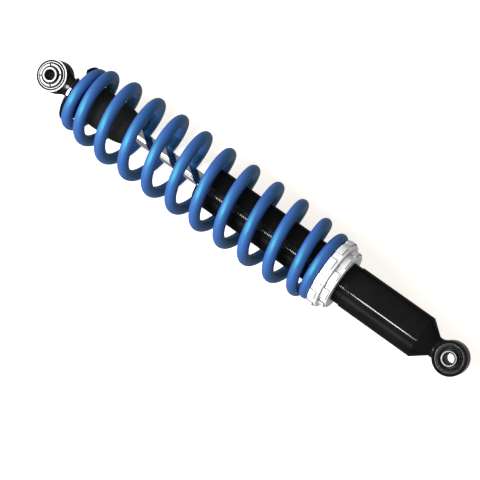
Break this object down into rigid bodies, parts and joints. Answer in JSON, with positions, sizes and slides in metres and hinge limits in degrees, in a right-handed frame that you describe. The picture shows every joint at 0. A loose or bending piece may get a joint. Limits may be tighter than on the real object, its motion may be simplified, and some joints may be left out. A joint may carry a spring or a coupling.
{
  "type": "strut assembly",
  "caption": "Coil-over strut with a gas damper inside a blue coil spring, threaded spring height nuts and a rubber-bushed eye at each end.",
  "frame": {"origin": "centre of the lower eye's bolt hole, half way along the hole", "axes": "+Z from the lower eye along the shaft to the upper eye; +Y along both bolt holes; the gas fill screw is on the +Y side"},
  "size_m": [0.0892, 0.0892, 0.5352],
  "materials": {
    "gloss_black": "gloss black powder coat",
    "plated_steel": "bright zinc plate",
    "black_steel": "black lacquered steel with bright worn edges",
    "bright_ring": "polished steel",
    "bush_rubber": "black rubber, slight sheen",
    "copper": "plain copper",
    "machined_aluminium": "turned, satin",
    "bronze": "sintered bronze",
    "seal_rubber": "black nitrile",
    "spring_steel": "blued spring steel",
    "blue_spring": "satin metallic blue powder coat",
    "nut_aluminium": "bright silver anodised, milled",
    "chrome_shaft": "hard chrome, ground and polished",
    "bump_foam": "microcellular foam",
    "ptfe_band": "filled PTFE"
  },
  "bodies": {
    "body": {"body_tube": "gloss_black", "lower_eye": "gloss_black", "lower_bush_shell": "black_steel", "lower_bush_rubber": "bush_rubber", "lower_bush_rings": "black_steel", "gas_fill_screw": "plated_steel", "gas_fill_washer": "copper", "seal_head": "machined_aluminium", "guide_bush": "bronze", "shaft_seal": "seal_rubber", "wiper_seal": "seal_rubber", "seal_head_oring": "seal_rubber", "retaining_ring": "spring_steel"},
    "lower_sleeve": {"lower_bush_sleeve": "plated_steel"},
    "perch": {"thrust_washer": "plated_steel", "coil_spring": "blue_spring"},
    "adjuster": {"adjuster_nut": "nut_aluminium"},
    "lock_ring": {"lock_nut": "nut_aluminium"},
    "upper_seat": {"upper_spring_seat": "gloss_black"},
    "shaft_group": {"shaft": "chrome_shaft", "upper_eye": "gloss_black", "jam_nut": "plated_steel", "eye_set_screw": "plated_steel", "bump_stop": "bump_foam", "top_out_bumper": "seal_rubber", "backing_washer": "plated_steel", "compression_shims": "spring_steel", "piston": "machined_aluminium", "piston_band": "ptfe_band", "rebound_shims": "spring_steel", "piston_nut": "plated_steel", "upper_bush_shell": "plated_steel", "upper_bush_rubber": "bush_rubber", "upper_bush_rings": "bright_ring"},
    "upper_sleeve": {"upper_bush_sleeve": "plated_steel"},
    "free_piston": {"floating_piston": "machined_aluminium", "floating_piston_oring": "seal_rubber"}
  },
  "joints": [
    {"name": "lower_sleeve_twist", "type": "hinge", "parent": "body", "child": "lower_sleeve", "pos_m": [0, 0, 0], "axis": [0, 1, 0], "range_deg": [-15, 15], "stiffness_Nm_per_rad": 40},
    {"name": "preload_travel", "type": "slide", "parent": "body", "child": "perch", "axis": [0, 0, 1], "range_m": [-0.008, 0]},
    {"name": "adjuster_turn", "type": "hinge", "parent": "perch", "child": "adjuster", "pos_m": [0, 0, 0.142], "axis": [0, 0, 1], "range_deg": [-1441, 1]},
    {"name": "lock_ring_turn", "type": "hinge", "parent": "perch", "child": "lock_ring", "pos_m": [0, 0, 0.1325], "axis": [0, 0, 1], "range_deg": [-1441, 1]},
    {"name": "shaft_stroke", "type": "slide", "parent": "body", "child": "upper_seat", "axis": [0, 0, -1], "range_m": [0, 0.09], "stiffness_N_per_m": 43000, "springref_m": -0.004, "deforming": ["coil_spring"]},
    {"name": "shaft_swivel", "type": "hinge", "parent": "upper_seat", "child": "shaft_group", "pos_m": [0, 0, 0.47], "axis": [0, 0, 1], "continuous": true},
    {"name": "upper_sleeve_twist", "type": "hinge", "parent": "shaft_group", "child": "upper_sleeve", "pos_m": [0, 0, 0.5], "axis": [0, 1, 0], "range_deg": [-15, 15], "stiffness_Nm_per_rad": 40},
    {"name": "floating_piston_travel", "type": "slide", "parent": "body", "child": "free_piston", "axis": [0, 0, -1], "range_m": [0, 0.0125]}
  ],
  "couplings": [
    {"joint": "adjuster_turn", "follows": "preload_travel", "rad_per_m": 3141.6},
    {"joint": "lock_ring_turn", "follows": "preload_travel", "rad_per_m": 3141.6},
    {"joint": "floating_piston_travel", "follows": "shaft_stroke", "ratio": 0.13573}
  ]
}
